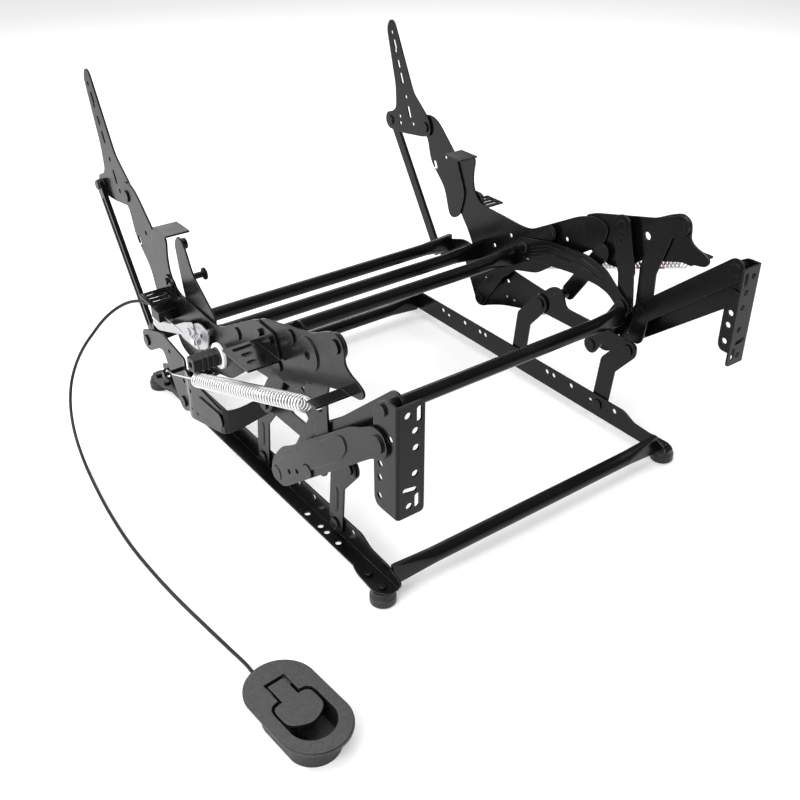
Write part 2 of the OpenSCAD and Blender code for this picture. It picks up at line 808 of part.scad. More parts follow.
// Wire's centre line as [along, across, up] from the rear stud towards the front hook
function hook_points(from, to, n, c, r, up) =
  [for (i = [0 : n - 1])
    let (a = from + (to - from) * i / (n - 1))
    [c + r * cos(a), up ? 0 : r * sin(a), up ? r * sin(a) : 0]];
spring_path = concat(
  hook_points(-30, -270, 6, 0, hook_r, true),
  [[hook_r + 14, 0, 0.4], [coil_start - 16, 0, 0], [coil_start - 6, 0, spring_r * 0.55]],
  [for (i = [0 : coil_rings])
    let (a = 360 * i / curl_rings)
    [coil_start + spring_body * i / coil_rings, -spring_r * sin(a), spring_r * cos(a)]],
  [[coil_end + 6, 0, spring_r * 0.55], [spring_len - hook_r - 6, 0.4, 0]],
  hook_points(90, -150, 6, spring_len, hook_r, false)
);

// Frames carried along the path without twist, and the tube built on them
function tangents(p) =
  let (n = len(p)) [for (i = [0 : n - 1]) unit(p[min(i + 1, n - 1)] - p[max(i - 1, 0)])];
function carried(t, start) =
  [for (i = 0, v = unit(start - (start * t[0]) * t[0]); i < len(t);
    i = i + 1, v = i < len(t) ? unit(v - (v * t[i]) * t[i]) : v) v];
module tube_along(path, d, sides, start) {
  n = len(path);
  t = tangents(path);
  f = carried(t, start);
  points = [for (i = [0 : n - 1], k = [0 : sides - 1])
    let (a = 360 * k / sides) path[i] + d / 2 * (cos(a) * f[i] + sin(a) * cross(t[i], f[i]))];
  walls = [for (i = [0 : n - 2], k = [0 : sides - 1])
    let (a = i * sides + k, b = i * sides + (k + 1) % sides)
    each [[a, a + sides, b + sides], [a, b + sides, b]]];
  caps_at = [for (k = [1 : sides - 2]) each [[0, k, k + 1],
    [(n - 1) * sides, (n - 1) * sides + k + 1, (n - 1) * sides + k]]];
  polyhedron(points, concat(walls, caps_at));
}

// Least gap of the wire to itself, between points that are a turn apart
function path_gap(p, near) =
  min([for (i = [0 : len(p) - 1], j = [i + near : 1 : min(i + near + 4, len(p) - 1)]) norm(p[i] - p[j])]);
echo(spring_gap = path_gap(spring_path, curl_rings - 1) - spring_wire);

module spring() {
  tilt = atan2(spring_v[1], -spring_v[0]);
  color(zinc) translate([spring_x, spring_rear[0], spring_rear[1]]) rotate([-tilt, 0, 0])
      rotate([0, 0, -90])
    tube_along(spring_path, spring_wire, ring_sides, [0, 0, 1]);
}

// Right side only: upright arm, shaft, latch and cable end

module upright_arm() {
  side = [[-52, 92], [-38, 62], [20, 56], [44, 92], [56, 152], [58, 172], [44, 186], [28, 176], [10, 138]];
  stud = [22, 129];
  stud_len = 20;
  color(black) on_side(-1) {
    upright(back_arm_x) outline(seat, side, 12);
    pin(seat + stud, back_arm_x - stud_len, back_arm_x, 9);
    pin(seat + stud, back_arm_x - stud_len - 3, back_arm_x - stud_len, 18);
    pin(seat + [43, 172], back_arm_x - 8, back_arm_x, 16);
  }
}

bush_od = 38;
bush_h = 5;
shaft_d = 26;
shaft_w = 20;
shaft_len = 46;

module shaft_bush() {
  color(nylon) on_side(-1) difference() {
    pin(shaft_at, plate_x + sheet, plate_x + sheet + bush_h, bush_od);
    pin(shaft_at, plate_x + sheet - 1, plate_x + sheet + bush_h + 1, shaft_d + 2 * pin_clearance);
  }
}

module drive_shaft() {
  start = plate_x + sheet + 2 * head_play;
  socket_w = 9;
  socket_depth = 14;
  color(plastic) on_side(-1) difference() {
    union() {
      pin(shaft_at, start, start + bush_h + 3, shaft_d);
      upright(start + bush_h + 3, shaft_len - bush_h - 3)
        outline(shaft_at, shaft_w / 2 * [[-1, -1], [1, -1], [1, 1], [-1, 1]], 3);
      for (x = [14, 22, 30]) upright(start + x, 2.4)
        outline(shaft_at, (shaft_w / 2 + 1.2) * [[-1, -1], [1, -1], [1, 1], [-1, 1]], 3);
    }
    upright(start + shaft_len - socket_depth, socket_depth + 1)
      translate(shaft_at) square(socket_w, center = true);
  }
}

latch_x = plate_x + sheet + 6;
latch_t = 2;
lever_x = latch_x + latch_t + 2 * head_play;
lever_hole = 6;

module latch_plate() {
  side = [[55, 40], [-18, 78], [-46, 74], [-38, 44], [0, 27], [48, 27]];
  color(zinc) on_side(-1) {
    upright(latch_x, latch_t) difference() {
      outline(seat, side, 7);
      translate(seat + [-22, 58]) circle(d = hole_d);
    }
    for (q = [[40, 36], [-34, 68]]) pin(seat + q, plate_x + sheet, latch_x, 9);
    pin(latch_pivot, latch_x + latch_t, lever_x + latch_t + head_play, lever_hole);
    pin(latch_pivot, lever_x + latch_t + head_play, lever_x + latch_t + head_play + 1.5, 11);
  }
}

module latch_lever() {
  side = [[-14, 22], [-20, 6], [-8, -10], [20, -14], [112, -46], [134, -44], [126, -28], [100, -25],
    [46, -8], [14, 10]];
  color(zinc) on_side(-1) upright(lever_x, latch_t) difference() {
    outline(latch_pivot, side, 6);
    translate(latch_pivot) circle(d = lever_hole + 2 * pin_clearance);
  }
}

cable_x = plate_x + 27;
cable_z = 58;
clamp_front = 65;
clamp_len = 26;
ferrule_len = 20;
ferrule_d = 9;

module cable_clamp() {
  block_h = 16;
  x0 = plate_x + sheet;
  color(black) on_side(-1) difference() {
    translate([x0, seat[0] + clamp_front, seat[1] + cable_z - block_h / 2])
      cube([cable_x - x0 + block_h / 2, clamp_len, block_h]);
    translate([cable_x, seat[0] + clamp_front - 1, seat[1] + cable_z]) rotate([-90, 0, 0])
        cylinder(h = clamp_len + 2, d = 3);
  }
}

module cable_ferrule() {
  color(nylon) on_side(-1) translate([cable_x, seat[0] + clamp_front + clamp_len, seat[1] + cable_z])
    rotate([-90, 0, 0]) rotate_extrude() polygon([[0, 0], [ferrule_d / 2, 0], [ferrule_d / 2, 9],
        [ferrule_d / 2 - 1.2, 10],
      [ferrule_d / 2 - 1.2, ferrule_len], [0, ferrule_len]]);
}

module cable_wire() {
  wire_d = 1.6;
  wire_end = 4;
  color(zinc) on_side(-1) translate([cable_x, seat[0] + wire_end, seat[1] + cable_z]) rotate([-90, 0, 0])
    cylinder(h = clamp_front + clamp_len - wire_end, d = wire_d, $fn = 16);
}

// Cable: hand-laid route from the ferrule down to the floor and forward to the handle
cable_points = [
  [-314, 196, 206], [-319, 214, 206], [-331, 232, 201], [-346, 250, 188], [-363, 266, 168],
  [-380, 280, 142], [-396, 291, 116], [-411, 298, 86], [-424, 298, 54], [-437, 279, 25],
  [-449, 240, 3], [-459, 186, -12], [-468, 123, -17], [-477, 45, -17], [-482, -35, -17],
  [-481, -110, -17], [-477, -175, -17], [-471, -240, -16], [-468, -295, -10], [-469, -335, 1],
  [-471, -357, 7], [-472, -366, 8]
];
cable_rings_per_span = 3;
function spline(p, i, s) =
  let (n = len(p) - 1, a = p[max(i - 1, 0)], b = p[i], c = p[min(i + 1, n)], d = p[min(i + 2, n)])
  0.5 * (2 * b + (c - a) * s + (2 * a - 5 * b + 4 * c - d) * s * s + (3 * b - a - 3 * c + d) * s * s * s);
cable_path = concat(
  [for (i = [0 : len(cable_points) - 2], k = [0 : cable_rings_per_span - 1])
      spline(cable_points, i, k / cable_rings_per_span)],
  [cable_points[len(cable_points) - 1]]);
function path_length(p) = [
  for (i = 1, s = 0; i <= len(p); s = s + (i < len(p) ? norm(p[i] - p[i - 1]) : 0), i = i + 1) s
][len(p) - 1];
echo(cable_length = path_length(cable_path));

module cable_sheath() {
  color(black) tube_along(cable_path, cable_d, 8, [0, 0, 1]);
}

// Handle: bezel with finger cup and a hinged paddle, lying on the floor
handle_at = [-459, -438];
floor_z = -foot_h;
bezel_z = floor_z + handle_h;
hinge_y = 38;
hinge_drop = 7;
stem_w = 21;
stem_rear = 43;
stem_front = 14;
flap_front = -25;
flap_corner = 10;
trunnion_d = 5;
recess = 1.5;

// Obround along Y from y0 to y1
module obround(y0, y1, w) {
  strap([0, y0 + w / 2], [0, y1 - w / 2], w);
}

module handle_opening() {
  w = stem_w + 2 * paddle_gap;
  flap_w = paddle_w + 2 * paddle_gap;
  rear = stem_front + paddle_gap;
  mid = rear - flap_w / 2;
  translate([-w / 2, stem_front - 2]) square([w, stem_rear + paddle_gap - stem_front + 2]);
  strap([0, mid], [0, -handle_len / 2 + 20 + flap_w / 2], flap_w);
  polygon(rounded([[-flap_w / 2, rear], [flap_w / 2, rear], [flap_w / 2, mid - flap_w / 4],
      [-flap_w / 2, mid - flap_w / 4]],
    flap_corner + paddle_gap));
}

module handle_bezel() {
  edge = 1.6;
  cup_front = -handle_len / 2 + 16;
  cup_rear = stem_rear + paddle_gap + cup_wall + 2;
  cup_w = paddle_w + 2 * paddle_gap + 2 * cup_wall + 2;
  under = handle_h - bezel_t;
  ear_w = 6;
  ear_x = stem_w / 2 + 0.6;
  boss_w = 12;
  boss_len = 12;
  boss_gap = 0.5;
  boss_low = 2;
  boss_bore = 2;
  cable_end = cable_points[len(cable_points) - 1];
  color(plastic) {
    translate([handle_at[0], handle_at[1], floor_z]) rotate(handle_turn) {
      translate([0, 0, under]) linear_extrude(bezel_t - edge) difference() {
        obround(-handle_len / 2, handle_len / 2, handle_w);
        handle_opening();
      }
      translate([0, 0, handle_h - edge]) linear_extrude(edge) difference() {
        obround(-handle_len / 2 + edge, handle_len / 2 - edge, handle_w - 2 * edge);
        handle_opening();
      }
      linear_extrude(cup_wall) obround(cup_front, cup_rear, cup_w);
      linear_extrude(under) difference() {
        obround(cup_front, cup_rear, cup_w);
        obround(cup_front + cup_wall, cup_rear - cup_wall, cup_w - 2 * cup_wall);
      }
      for (s = [-1, 1]) difference() {
        translate([s * (ear_x + ear_w / 2) - ear_w / 2, hinge_y - 6, handle_h - hinge_drop - 8])
            cube([ear_w, 12, 8 + hinge_drop - bezel_t]);
        translate([s * (ear_x + ear_w / 2), hinge_y, handle_h - hinge_drop]) rotate([0, 90, 0])
          cylinder(h = ear_w + 2, d = trunnion_d + 2 * pin_clearance, center = true);
      }
    }
    translate([cable_end[0], cable_end[1], 0]) rotate(handle_turn) difference() {
      translate([-boss_w / 2, -boss_len - boss_gap, boss_low])
          cube([boss_w, boss_len, bezel_z - bezel_t - boss_low]);
      translate([0, 1, cable_end[2]]) rotate([90, 0, 0]) cylinder(h = boss_len + 2, d = boss_bore);
    }
  }
}

module handle_paddle() {
  top = bezel_z - recess;
  barrel_d = 9;
  lip = 7;
  ear_x = stem_w / 2 + 0.6;
  color(plastic) translate([handle_at[0], handle_at[1], 0]) rotate(handle_turn) {
    translate([0, 0, top - paddle_t]) linear_extrude(paddle_t) {
      translate([-stem_w / 2, stem_front - 8]) square([stem_w, stem_rear - stem_front + 8]);
      polygon(rounded([[-paddle_w / 2, stem_front], [paddle_w / 2, stem_front],
          [paddle_w / 2, flap_front + 7],
        [0, flap_front - 6], [-paddle_w / 2, flap_front + 7]], flap_corner));
    }
    translate([-stem_w / 2, hinge_y, bezel_z - hinge_drop]) rotate([0, 90, 0])
        cylinder(h = stem_w, d = barrel_d);
    translate([-ear_x - 5, hinge_y, bezel_z - hinge_drop]) rotate([0, 90, 0])
        cylinder(h = 2 * ear_x + 10, d = trunnion_d);
    translate([-paddle_w / 2 + 10, flap_front + 3, top - paddle_t - lip]) cube([paddle_w - 20, 3, lip]);
  }
}

feet();
on_side(-1) rail();  // right_rail
on_side(1) rail();  // left_rail
base_tube(base_front_tube_inset - rail_length / 2);  // base_front_tube
base_tube(rail_length / 2 - base_rear_tube_inset);  // base_rear_tube
base_rivets();
on_side(-1) base_link(base_pivot);  // right_rear_link
on_side(1) base_link(base_pivot);  // left_rear_link
on_side(-1) base_link(base_pivot + link_step);  // right_front_link
on_side(1) base_link(base_pivot + link_step);  // left_front_link
on_side(-1) carrier();  // right_carrier
on_side(1) carrier();  // left_carrier
rear_tube();
carrier_rivets();
on_side(-1) seat_link(rear_seat_link_x, rear_seat_low);  // right_rear_seat_link
on_side(1) seat_link(rear_seat_link_x, rear_seat_low);  // left_rear_seat_link
on_side(-1) seat_link(guide_x, front_seat_low);  // right_front_seat_link
on_side(1) seat_link(guide_x, front_seat_low);  // left_front_seat_link
on_side(-1) seat_plate();  // right_seat_plate
on_side(1) seat_plate();  // left_seat_plate
on_side(-1) front_plate();  // right_front_plate
on_side(1) front_plate();  // left_front_plate
front_tabs();
rear_tabs();
seat_tubes();
seat_rivets();
on_side(-1) spring();  // right_spring
on_side(1) spring();  // left_spring
on_side(-1) back_arm();  // right_back_arm
on_side(1) back_arm();  // left_back_arm
on_side(-1) back_bracket();  // right_back_bracket
on_side(1) back_bracket();  // left_back_bracket
on_side(-1) strut();  // right_strut
on_side(1) strut();  // left_strut
on_side(-1) rear_hanger();  // right_rear_hanger
on_side(1) rear_hanger();  // left_rear_hanger
front_tube();
on_side(-1) front_hanger();  // right_front_hanger
on_side(1) front_hanger();  // left_front_hanger
on_side(-1) guide_arm();  // right_guide_arm
on_side(1) guide_arm();  // left_guide_arm
on_side(-1) footrest_arm();  // right_footrest_arm
on_side(1) footrest_arm();  // left_footrest_arm
on_side(-1) footrest_bracket();  // right_footrest_bracket
on_side(1) footrest_bracket();  // left_footrest_bracket
on_side(-1) drive_crank();  // right_drive_crank
on_side(1) drive_crank();  // left_drive_crank
on_side(-1) drive_link();  // right_drive_link
on_side(1) drive_link();  // left_drive_link
upright_arm();
shaft_bush();
drive_shaft();
latch_plate();
latch_lever();
cable_clamp();
cable_ferrule();
cable_wire();
cable_sheath();
handle_bezel();
handle_paddle();
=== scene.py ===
import math

import bpy
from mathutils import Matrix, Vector


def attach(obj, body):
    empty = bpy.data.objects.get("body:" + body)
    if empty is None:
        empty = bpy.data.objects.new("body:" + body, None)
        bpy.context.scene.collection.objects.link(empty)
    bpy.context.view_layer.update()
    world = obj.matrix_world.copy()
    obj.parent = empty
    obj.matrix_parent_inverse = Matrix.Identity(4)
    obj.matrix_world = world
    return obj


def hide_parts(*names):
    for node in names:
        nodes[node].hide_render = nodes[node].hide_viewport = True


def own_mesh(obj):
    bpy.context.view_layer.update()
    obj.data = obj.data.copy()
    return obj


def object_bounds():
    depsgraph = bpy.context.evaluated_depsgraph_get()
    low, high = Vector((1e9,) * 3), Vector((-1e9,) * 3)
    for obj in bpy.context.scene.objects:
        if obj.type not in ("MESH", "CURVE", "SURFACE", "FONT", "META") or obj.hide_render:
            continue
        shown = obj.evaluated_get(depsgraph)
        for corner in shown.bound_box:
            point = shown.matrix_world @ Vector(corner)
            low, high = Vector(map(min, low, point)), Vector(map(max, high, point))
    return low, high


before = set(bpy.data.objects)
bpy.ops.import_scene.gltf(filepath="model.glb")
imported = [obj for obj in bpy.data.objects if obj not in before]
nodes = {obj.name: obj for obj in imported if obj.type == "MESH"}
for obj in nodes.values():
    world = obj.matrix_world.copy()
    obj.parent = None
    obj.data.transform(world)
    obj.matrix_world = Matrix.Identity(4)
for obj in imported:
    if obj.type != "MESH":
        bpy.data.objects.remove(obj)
cadLow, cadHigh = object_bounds()
scene = bpy.context.scene
scene.view_settings.view_transform = "Standard"
print("frame loaded:", len(nodes), "CAD nodes")


# the photograph's viewpoint
viewpoint = {
    "location": (-0.82488, -1.12107, 0.89853),
    "tilt": 57.7139,
    "turn": -36.5108,
    "lens": 45.84,
    "sensor": 36,
    "clip": (0.05, 60),
}
camera = bpy.data.objects.new("photoCamera", bpy.data.cameras.new("photoCamera"))
scene.collection.objects.link(camera)
camera.location = viewpoint["location"]
camera.rotation_euler = (math.radians(viewpoint["tilt"]), 0, math.radians(viewpoint["turn"]))
camera.data.lens = viewpoint["lens"]
camera.data.sensor_width = viewpoint["sensor"]
camera.data.clip_start, camera.data.clip_end = viewpoint["clip"]
scene.camera = camera
print("camera set")


# sockets of the Mix node that share a name are told apart by number
floatMix = {"first": 2, "second": 3, "result": 0}
colourMix = {"mask": 0, "first": 6, "second": 7, "result": 2}


# node helpers
def placeNode(tree, kind, **settings):
    node = tree.nodes.new(kind)
    for name, value in settings.items():
        setattr(node, name, value)
    return node


def joinNodes(tree, source, output, target, socket):
    tree.links.new(source.outputs[output], target.inputs[socket])


def setSpan(node, end, span):
    node.inputs[end + " Min"].default_value, node.inputs[end + " Max"].default_value = span


# a group from inputs (name, default, least, most) and outputs (name, kind)
def newGroup(name, inputs, outputs):
    group = bpy.data.node_groups.new(name, "ShaderNodeTree")
    for label, value, low, high in inputs:
        socket = group.interface.new_socket(label, in_out="INPUT", socket_type="NodeSocketFloat")
        socket.default_value = value
        socket.min_value = low
        socket.max_value = high
    for label, kind in outputs:
        group.interface.new_socket(label, in_out="OUTPUT", socket_type=kind)
    return group, group.nodes.new("NodeGroupInput"), group.nodes.new("NodeGroupOutput")


# orange peel and moulded grain: a height from two sizes of noise
grainNoise = {"fineDetail": 3, "broadDetail": 2}


def makeGrainGroup():
    group, start, end = newGroup(
        "surfaceGrain",
        [("Grain Scale", 900, 1, 5000), ("Swell Scale", 60, 1, 500), ("Swell Share", 0.3, 0, 1)],
        [("Height", "NodeSocketFloat")],
    )
    place = placeNode(group, "ShaderNodeTexCoord")
    fine = placeNode(group, "ShaderNodeTexNoise")
    fine.inputs["Detail"].default_value = grainNoise["fineDetail"]
    broad = placeNode(group, "ShaderNodeTexNoise")
    broad.inputs["Detail"].default_value = grainNoise["broadDetail"]
    mix = placeNode(group, "ShaderNodeMix", data_type="FLOAT")
    joinNodes(group, place, "Object", fine, "Vector")
    joinNodes(group, place, "Object", broad, "Vector")
    joinNodes(group, start, "Grain Scale", fine, "Scale")
    joinNodes(group, start, "Swell Scale", broad, "Scale")
    joinNodes(group, start, "Swell Share", mix, "Factor")
    group.links.new(fine.outputs["Fac"], mix.inputs[floatMix["first"]])
    group.links.new(broad.outputs["Fac"], mix.inputs[floatMix["second"]])
    group.links.new(mix.outputs[floatMix["result"]], end.inputs["Height"])
    return group


# rubbed edges and painted edge highlights: how far the rounded normal leaves the face, broken up by noise
edgeWearAndSheen = {
    "samples": 4,
    "cosines": (0.995, 0.80),  # where the rubbed wear and painted highlight start and where they are full
    "patchDetail": 5,
    "patchSpan": (0.42, 0.66),
    "patchLeast": 0.15,
}


def makeEdgeWearAndSheenGroup():
    group, start, end = newGroup(
        "rubbedEdgeAndSheen",
        [("Width", 0.0012, 0.0001, 0.01), ("Patch Scale", 45, 1, 500), ("Strength", 1, 0, 4)],
        [("Mask", "NodeSocketFloat"), ("Rounded Normal", "NodeSocketVector")],
    )
    rounded = placeNode(group, "ShaderNodeBevel", samples=edgeWearAndSheen["samples"])
    face = placeNode(group, "ShaderNodeNewGeometry")
    facing = placeNode(group, "ShaderNodeVectorMath", operation="DOT_PRODUCT")
    turned = placeNode(group, "ShaderNodeMapRange")
    setSpan(turned, "From", edgeWearAndSheen["cosines"])
    place = placeNode(group, "ShaderNodeTexCoord")
    patch = placeNode(group, "ShaderNodeTexNoise")
    patch.inputs["Detail"].default_value = edgeWearAndSheen["patchDetail"]
    patchy = placeNode(group, "ShaderNodeMapRange")
    setSpan(patchy, "From", edgeWearAndSheen["patchSpan"])
    patchy.inputs["To Min"].default_value = edgeWearAndSheen["patchLeast"]
    both = placeNode(group, "ShaderNodeMath", operation="MULTIPLY")
    scaled = placeNode(group, "ShaderNodeMath", operation="MULTIPLY", use_clamp=True)
    joinNodes(group, start, "Width", rounded, "Radius")
    group.links.new(rounded.outputs["Normal"], facing.inputs[0])
    group.links.new(face.outputs["Normal"], facing.inputs[1])
    joinNodes(group, facing, "Value", turned, "Value")
    joinNodes(group, place, "Object", patch, "Vector")
    joinNodes(group, start, "Patch Scale", patch, "Scale")
    joinNodes(group, patch, "Fac", patchy, "Value")
    group.links.new(turned.outputs["Result"], both.inputs[0])
    group.links.new(patchy.outputs["Result"], both.inputs[1])
    group.links.new(both.outputs["Value"], scaled.inputs[0])
    group.links.new(start.outputs["Strength"], scaled.inputs[1])
    joinNodes(group, scaled, "Value", end, "Mask")
    joinNodes(group, rounded, "Normal", end, "Rounded Normal")
    return group


# uneven gloss and faint dust on faces that look up
glossPatches = {
    "detail": 6,
    "contrast": 0.62,
    "noiseSpan": (0.3, 0.7),
    "dustSlope": (0.35, 1.0),  # upward part of the normal, from clean to dusty
}


def makePatchGroup():
    group, start, end = newGroup(
        "patchyGloss",
        [("Low", 0.3, 0, 1), ("High", 0.5, 0, 1), ("Patch Scale", 14, 0.5, 300)],
        [("Roughness", "NodeSocketFloat"), ("Dust", "NodeSocketFloat")],
    )
    place = placeNode(group, "ShaderNodeTexCoord")
    patch = placeNode(group, "ShaderNodeTexNoise")
    patch.inputs["Detail"].default_value = glossPatches["detail"]
    patch.inputs["Roughness"].default_value = glossPatches["contrast"]
    span = placeNode(group, "ShaderNodeMapRange")
    setSpan(span, "From", glossPatches["noiseSpan"])
    face = placeNode(group, "ShaderNodeNewGeometry")
    split = placeNode(group, "ShaderNodeSeparateXYZ")
    upward = placeNode(group, "ShaderNodeMapRange")
    setSpan(upward, "From", glossPatches["dustSlope"])
    dust = placeNode(group, "ShaderNodeMath", operation="MULTIPLY", use_clamp=True)
    joinNodes(group, place, "Object", patch, "Vector")
    joinNodes(group, start, "Patch Scale", patch, "Scale")
    joinNodes(group, patch, "Fac", span, "Value")
    joinNodes(group, start, "Low", span, "To Min")
    joinNodes(group, start, "High", span, "To Max")
    joinNodes(group, span, "Result", end, "Roughness")
    joinNodes(group, face, "Normal", split, "Vector")
    joinNodes(group, split, "Z", upward, "Value")
    group.links.new(upward.outputs["Result"], dust.inputs[0])
    group.links.new(patch.outputs["Fac"], dust.inputs[1])
    joinNodes(group, dust, "Value", end, "Dust")
    return group


grainGroup = makeGrainGroup()
edgeWearAndSheenGroup = makeEdgeWearAndSheenGroup()
patchGroup = makePatchGroup()
print("shader groups built")


# an underscore in a keyword stands for the space in an input's name
def placeGroup(tree, group, **values):
    node = placeNode(tree, "ShaderNodeGroup", node_tree=group)
    for label, value in values.items():
        node.inputs[label.replace("_", " ")].default_value = value
    return node


def mixColours(tree, maskNode, maskOutput, first, second):
    mix = placeNode(tree, "ShaderNodeMix", data_type="RGBA")
    tree.links.new(maskNode.outputs[maskOutput], mix.inputs[colourMix["mask"]])
    for end, value in (("first", first), ("second", second)):
        socket = mix.inputs[colourMix[end]]
        if isinstance(value, bpy.types.NodeSocket):
            tree.links.new(value, socket)
        else:
            socket.default_value = (*value, 1)
    return mix.outputs[colourMix["result"]]


# a brushed-on paint mark across a stretch of Y, not metallic where it covers
def addPaintBand(tree, shader, under, paint, metallic):
    place = placeNode(tree, "ShaderNodeTexCoord")
    split = placeNode(tree, "ShaderNodeSeparateXYZ")
    band = placeNode(tree, "ShaderNodeMapRange", interpolation_type="SMOOTHSTEP")
    ends = placeNode(tree, "ShaderNodeMath", operation="ABSOLUTE")
    bare = placeNode(tree, "ShaderNodeMath", operation="MULTIPLY_ADD")
    shift = placeNode(tree, "ShaderNodeMath", operation="SUBTRACT")
    shift.inputs[1].default_value = paint["middle"]
    setSpan(band, "From", (paint["half"], paint["half"] * paint["solid"]))
    bare.inputs[1].default_value = -metallic
    bare.inputs[2].default_value = metallic
    joinNodes(tree, place, "Object", split, "Vector")
    tree.links.new(split.outputs["Y"], shift.inputs[0])
    tree.links.new(shift.outputs[0], ends.inputs[0])
    tree.links.new(ends.outputs[0], band.inputs["Value"])
    tree.links.new(band.outputs["Result"], bare.inputs[0])
    tree.links.new(bare.outputs[0], shader.inputs["Metallic"])
    return mixColours(tree, band, "Result", under, paint["colour"])


# one finish: colour, dust, rubbed edges with painted edge highlights, grain and gloss on a Principled
# shader
def makeFinish(name, look):
    material = bpy.data.materials.new(name)
    material.use_nodes = True
    tree = material.node_tree
    shader = tree.nodes["Principled BSDF"]
    shader.inputs["Metallic"].default_value = look["metallic"]
    shader.inputs["Specular IOR Level"].default_value = look["specular"]
    edge = placeGroup(
        tree, edgeWearAndSheenGroup,
        Width=look["edgeWidth"], Patch_Scale=look["edgePatch"], Strength=look["edgeStrength"],
    )
    gloss = placeGroup(
        tree, patchGroup,
        Low=look["glossLow"], High=look["glossHigh"], Patch_Scale=look["glossPatch"],
    )
    grain = placeGroup(
        tree, grainGroup,
        Grain_Scale=look["grainScale"], Swell_Scale=look["swellScale"], Swell_Share=look["swellShare"],
    )
    dusty = mixColours(tree, gloss, "Dust", look["colour"], look["dust"])
    # the edge colour is rubbed wear and also a painted highlight along the rounded edges
    coloured = mixColours(tree, edge, "Mask", dusty, look["edgeWearAndSheenColour"])
    bump = placeNode(tree, "ShaderNodeBump")
    bump.inputs["Strength"].default_value = look["bump"]
    bump.inputs["Distance"].default_value = look["bumpDepth"]
    joinNodes(tree, grain, "Height", bump, "Height")
    joinNodes(tree, edge, "Rounded Normal", bump, "Normal")
    joinNodes(tree, bump, "Normal", shader, "Normal")
    joinNodes(tree, gloss, "Roughness", shader, "Roughness")
    if "paint" in look:
        coloured = addPaintBand(tree, shader, coloured, look["paint"], look["metallic"])
    tree.links.new(coloured, shader.inputs["Base Color"])
    return material


# edge colours are lighter than the faces: rubbed wear plus a painted highlight on the rims
powderCoatLook = {
    "colour": (0.0025, 0.0025, 0.0026), "dust": (0.005, 0.005, 0.005), "edgeWearAndSheenColour": (0.17, 0.17, 0.175),
    "metallic": 0.0, "specular": 0.20, "glossLow": 0.16, "glossHigh": 0.31, "glossPatch": 12,
    "edgeWidth": 0.0010, "edgePatch": 38, "edgeStrength": 0.8,
    "grainScale": 900, "swellScale": 150, "swellShare": 0.45, "bump": 0.08, "bumpDepth": 0.0004,
}
zincLook = {
    "colour": (0.72, 0.72, 0.73), "dust": (0.55, 0.55, 0.55), "edgeWearAndSheenColour": (0.85, 0.85, 0.86),
    "metallic": 1.0, "specular": 0.5, "glossLow": 0.24, "glossHigh": 0.38, "glossPatch": 60,
    "edgeWidth": 0.0006, "edgePatch": 60, "edgeStrength": 0.6,
    "grainScale": 1500, "swellScale": 300, "swellShare": 0.3, "bump": 0.12, "bumpDepth": 0.0002,
}
markedSpringLook = {
    **zincLook,
    "paint": {"colour": (0.28, 0.025, 0.02), "middle": -0.21, "half": 0.03, "solid": 0.7},
}
stampedZincLook = {
    **zincLook, "colour": (0.43, 0.43, 0.44), "dust": (0.30, 0.30, 0.30),
    "glossLow": 0.3, "glossHigh": 0.52, "glossPatch": 110,
    "swellScale": 140, "swellShare": 0.7, "bump": 0.45, "bumpDepth": 0.0008,
}
nylonLook = {
    "colour": (0.80, 0.80, 0.78), "dust": (0.70, 0.69, 0.66), "edgeWearAndSheenColour": (0.88, 0.88, 0.87),
    "metallic": 0.0, "specular": 0.5, "glossLow": 0.32, "glossHigh": 0.45, "glossPatch": 40,
    "edgeWidth": 0.0008, "edgePatch": 50, "edgeStrength": 0.5,
    "grainScale": 700, "swellScale": 120, "swellShare": 0.3, "bump": 0.08, "bumpDepth": 0.0003,
}
plasticLook = {
    "colour": (0.008, 0.008, 0.0083), "dust": (0.075, 0.075, 0.077), "edgeWearAndSheenColour": (0.14, 0.14, 0.143),
    "metallic": 0.0, "specular": 0.5, "glossLow": 0.34, "glossHigh": 0.56, "glossPatch": 220,
    "edgeWidth": 0.0012, "edgePatch": 30, "edgeStrength": 0.6,
    "grainScale": 750, "swellScale": 300, "swellShare": 0.35, "bump": 1.0, "bumpDepth": 0.0009,
}
rubberLook = {
    **plasticLook, "colour": (0.004, 0.004, 0.0042), "dust": (0.04, 0.04, 0.041),
    "edgeWearAndSheenColour": (0.10, 0.10, 0.102), "specular": 0.42, "bump": 0.5,
}
jacketLook = {
    "colour": (0.005, 0.005, 0.0053), "dust": (0.012, 0.012, 0.012), "edgeWearAndSheenColour": (0.02, 0.02, 0.02),
    "metallic": 0.0, "specular": 0.3, "glossLow": 0.3, "glossHigh": 0.42, "glossPatch": 30,
    "edgeWidth": 0.0004, "edgePatch": 40, "edgeStrength": 0.2,
    "grainScale": 900, "swellScale": 90, "swellShare": 0.5, "bump": 0.1, "bumpDepth": 0.0003,
}
powderCoat = makeFinish("blackPowderCoat", powderCoatLook)
zincSteel = makeFinish("zincSteel", zincLook)
markedSpring = makeFinish("markedSpring", markedSpringLook)
stampedZinc = makeFinish("stampedZinc", stampedZincLook)
whiteNylon = makeFinish("whiteNylon", nylonLook)
blackPlastic = makeFinish("blackPlastic", plasticLook)
blackRubber = makeFinish("blackRubber", rubberLook)
cableJacket = makeFinish("cableJacket", jacketLook)
print("finishes made")


def dress(obj, material):
    obj.data.materials.clear()
    obj.data.materials.append(material)


def addObject(name, data, body):
    obj = bpy.data.objects.new(name, data)
    scene.collection.objects.link(obj)
    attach(obj, body)
    return obj


